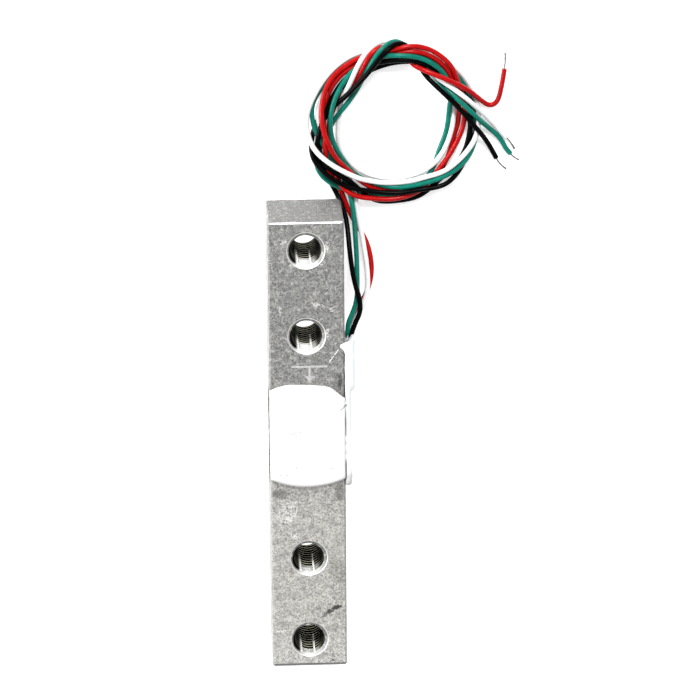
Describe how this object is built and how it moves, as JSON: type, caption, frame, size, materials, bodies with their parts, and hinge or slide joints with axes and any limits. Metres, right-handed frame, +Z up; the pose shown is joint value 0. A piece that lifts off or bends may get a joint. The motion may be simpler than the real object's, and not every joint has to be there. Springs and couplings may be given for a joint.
{
  "type": "weighing load cell",
  "caption": "Bar-type load cell: an aluminium spring bar with tapped end holes, a flexure window under silicone-coated strain gauges, and thin lead wires in a loose coil.",
  "frame": {"origin": "middle of the spring bar, on its long axis", "axes": "+Y along the bar towards the end that the leads pass, +Z up through the tapped holes, +X towards the side that the leads leave from"},
  "size_m": [0.0428, 0.1083, 0.0143],
  "materials": {
    "aluminium": "tumbled, fine scratches",
    "silicone": "cured, satin",
    "gauge_film": "amber film with foil",
    "enamelled_wire": "enamelled copper",
    "strip": "backed copper pads",
    "solder": "bright solder",
    "black_insulation": "extruded, semi-gloss",
    "green_insulation": "extruded, semi-gloss",
    "white_insulation": "extruded, semi-gloss",
    "red_insulation": "extruded, semi-gloss",
    "coiled_insulation": "mean of the four wires that the ring stands in for",
    "tinned_copper": "tinned strands"
  },
  "bodies": {
    "root": {"spring_body": "aluminium", "silicone_top": "silicone", "silicone_bottom": "silicone", "silicone_side": "silicone", "gauge_top": "gauge_film", "gauge_bottom": "gauge_film", "gauge_wires_top": "enamelled_wire", "gauge_wires_bottom": "enamelled_wire", "terminal_strip": "strip", "solder_joints": "solder", "lead_black": "black_insulation", "lead_green": "green_insulation", "lead_white": "white_insulation", "lead_red": "red_insulation", "wire_coil": "coiled_insulation", "tail_black": "black_insulation", "tail_green": "green_insulation", "tail_white": "white_insulation", "tail_red": "red_insulation", "bare_end_black": "tinned_copper", "bare_end_green": "tinned_copper", "bare_end_white": "tinned_copper", "bare_end_red": "tinned_copper"}
  },
  "joints": []
}
